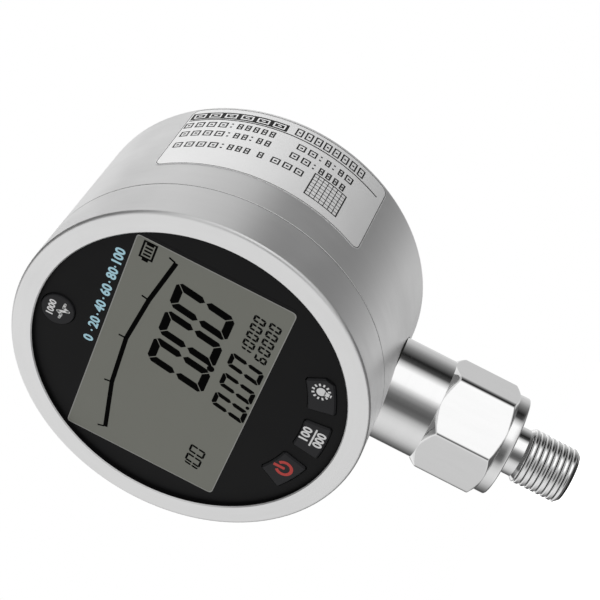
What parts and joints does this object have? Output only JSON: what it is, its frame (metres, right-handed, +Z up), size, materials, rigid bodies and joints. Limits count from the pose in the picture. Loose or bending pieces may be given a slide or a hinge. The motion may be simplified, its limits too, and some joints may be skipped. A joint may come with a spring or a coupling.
{
  "type": "digital pressure gauge",
  "caption": "Round steel pressure gauge with a digital display, push keys on the dial and a bottom stem with a spanner hexagon and male thread.",
  "frame": {"origin": "on the stem's axis, half way along the thread's full diameter", "axes": "+Z up the stem to the case, the dial faces -Y, +X to the right as the dial is read"},
  "size_m": [0.0821, 0.047, 0.1273],
  "materials": {
    "brushed_case": "satin, brushed round the case",
    "turned_steel": "bright, turned",
    "seal_rubber": "matt",
    "dial_black": "satin black",
    "window_pane": "clear, gloss",
    "display_cell": "grey with dark segments",
    "light_guide": "milky",
    "contact_rubber": "matt",
    "carrier_plastic": "moulded",
    "key_charcoal": "satin charcoal",
    "switch_plastic": "moulded",
    "board_green": "lacquered",
    "chip_black": "moulded",
    "bright_can": "plated",
    "capacitor_sleeve": "shrunk sleeve",
    "socket_ivory": "moulded",
    "brass_pillar": "turned",
    "holder_black": "moulded",
    "zinc_screw": "zinc plated",
    "cell_jacket": "printed sleeve, plain",
    "spring_steel": "nickel plated",
    "lead_red": "insulation",
    "lead_black": "insulation",
    "foam": "open foam",
    "ribbon_amber": "film",
    "label_foil": "matt silver foil"
  },
  "bodies": {
    "gauge": {"front_bezel": "brushed_case", "bezel_gasket": "seal_rubber", "dial_panel": "dial_black", "display_window": "window_pane", "display_glass": "display_cell", "backlight": "light_guide", "zebra_strip": "contact_rubber", "display_carrier": "carrier_plastic", "key_switches": "switch_plastic", "circuit_board": "board_green", "processor": "chip_black", "converter": "chip_black", "crystal": "bright_can", "capacitors": "capacitor_sleeve", "battery_socket": "socket_ivory", "ribbon_socket": "socket_ivory", "pillars": "brass_pillar", "battery_holder": "holder_black", "holder_screws": "zinc_screw", "aaa_cells": "cell_jacket", "cell_contacts": "spring_steel", "cell_springs": "spring_steel", "red_lead": "lead_red", "black_lead": "lead_black", "cell_pad": "foam", "case_shell": "brushed_case", "rear_gasket": "seal_rubber", "rear_cover": "brushed_case", "cover_screws": "zinc_screw", "stem_seal": "seal_rubber", "stem_nut": "turned_steel", "sensor_housing": "turned_steel", "process_fitting": "turned_steel", "pressure_sensor": "bright_can", "sensor_ring": "seal_rubber", "sensor_ribbon": "ribbon_amber", "case_label": "label_foil"},
    "power_button": {"power_key": "key_charcoal", "power_plunger": "switch_plastic"},
    "unit_button": {"unit_key": "key_charcoal", "unit_plunger": "switch_plastic"},
    "lamp_button": {"lamp_key": "key_charcoal", "lamp_plunger": "switch_plastic"},
    "peak_button": {"peak_key": "key_charcoal", "peak_plunger": "switch_plastic"}
  },
  "joints": [
    {"name": "power_press", "type": "slide", "parent": "gauge", "child": "power_button", "axis": [0, 1, 0], "range_m": [0, 0.0004], "stiffness_N_per_m": 4000},
    {"name": "unit_press", "type": "slide", "parent": "gauge", "child": "unit_button", "axis": [0, 1, 0], "range_m": [0, 0.0004], "stiffness_N_per_m": 4000},
    {"name": "lamp_press", "type": "slide", "parent": "gauge", "child": "lamp_button", "axis": [0, 1, 0], "range_m": [0, 0.0004], "stiffness_N_per_m": 4000},
    {"name": "peak_press", "type": "slide", "parent": "gauge", "child": "peak_button", "axis": [0, 1, 0], "range_m": [0, 0.0004], "stiffness_N_per_m": 4000}
  ]
}
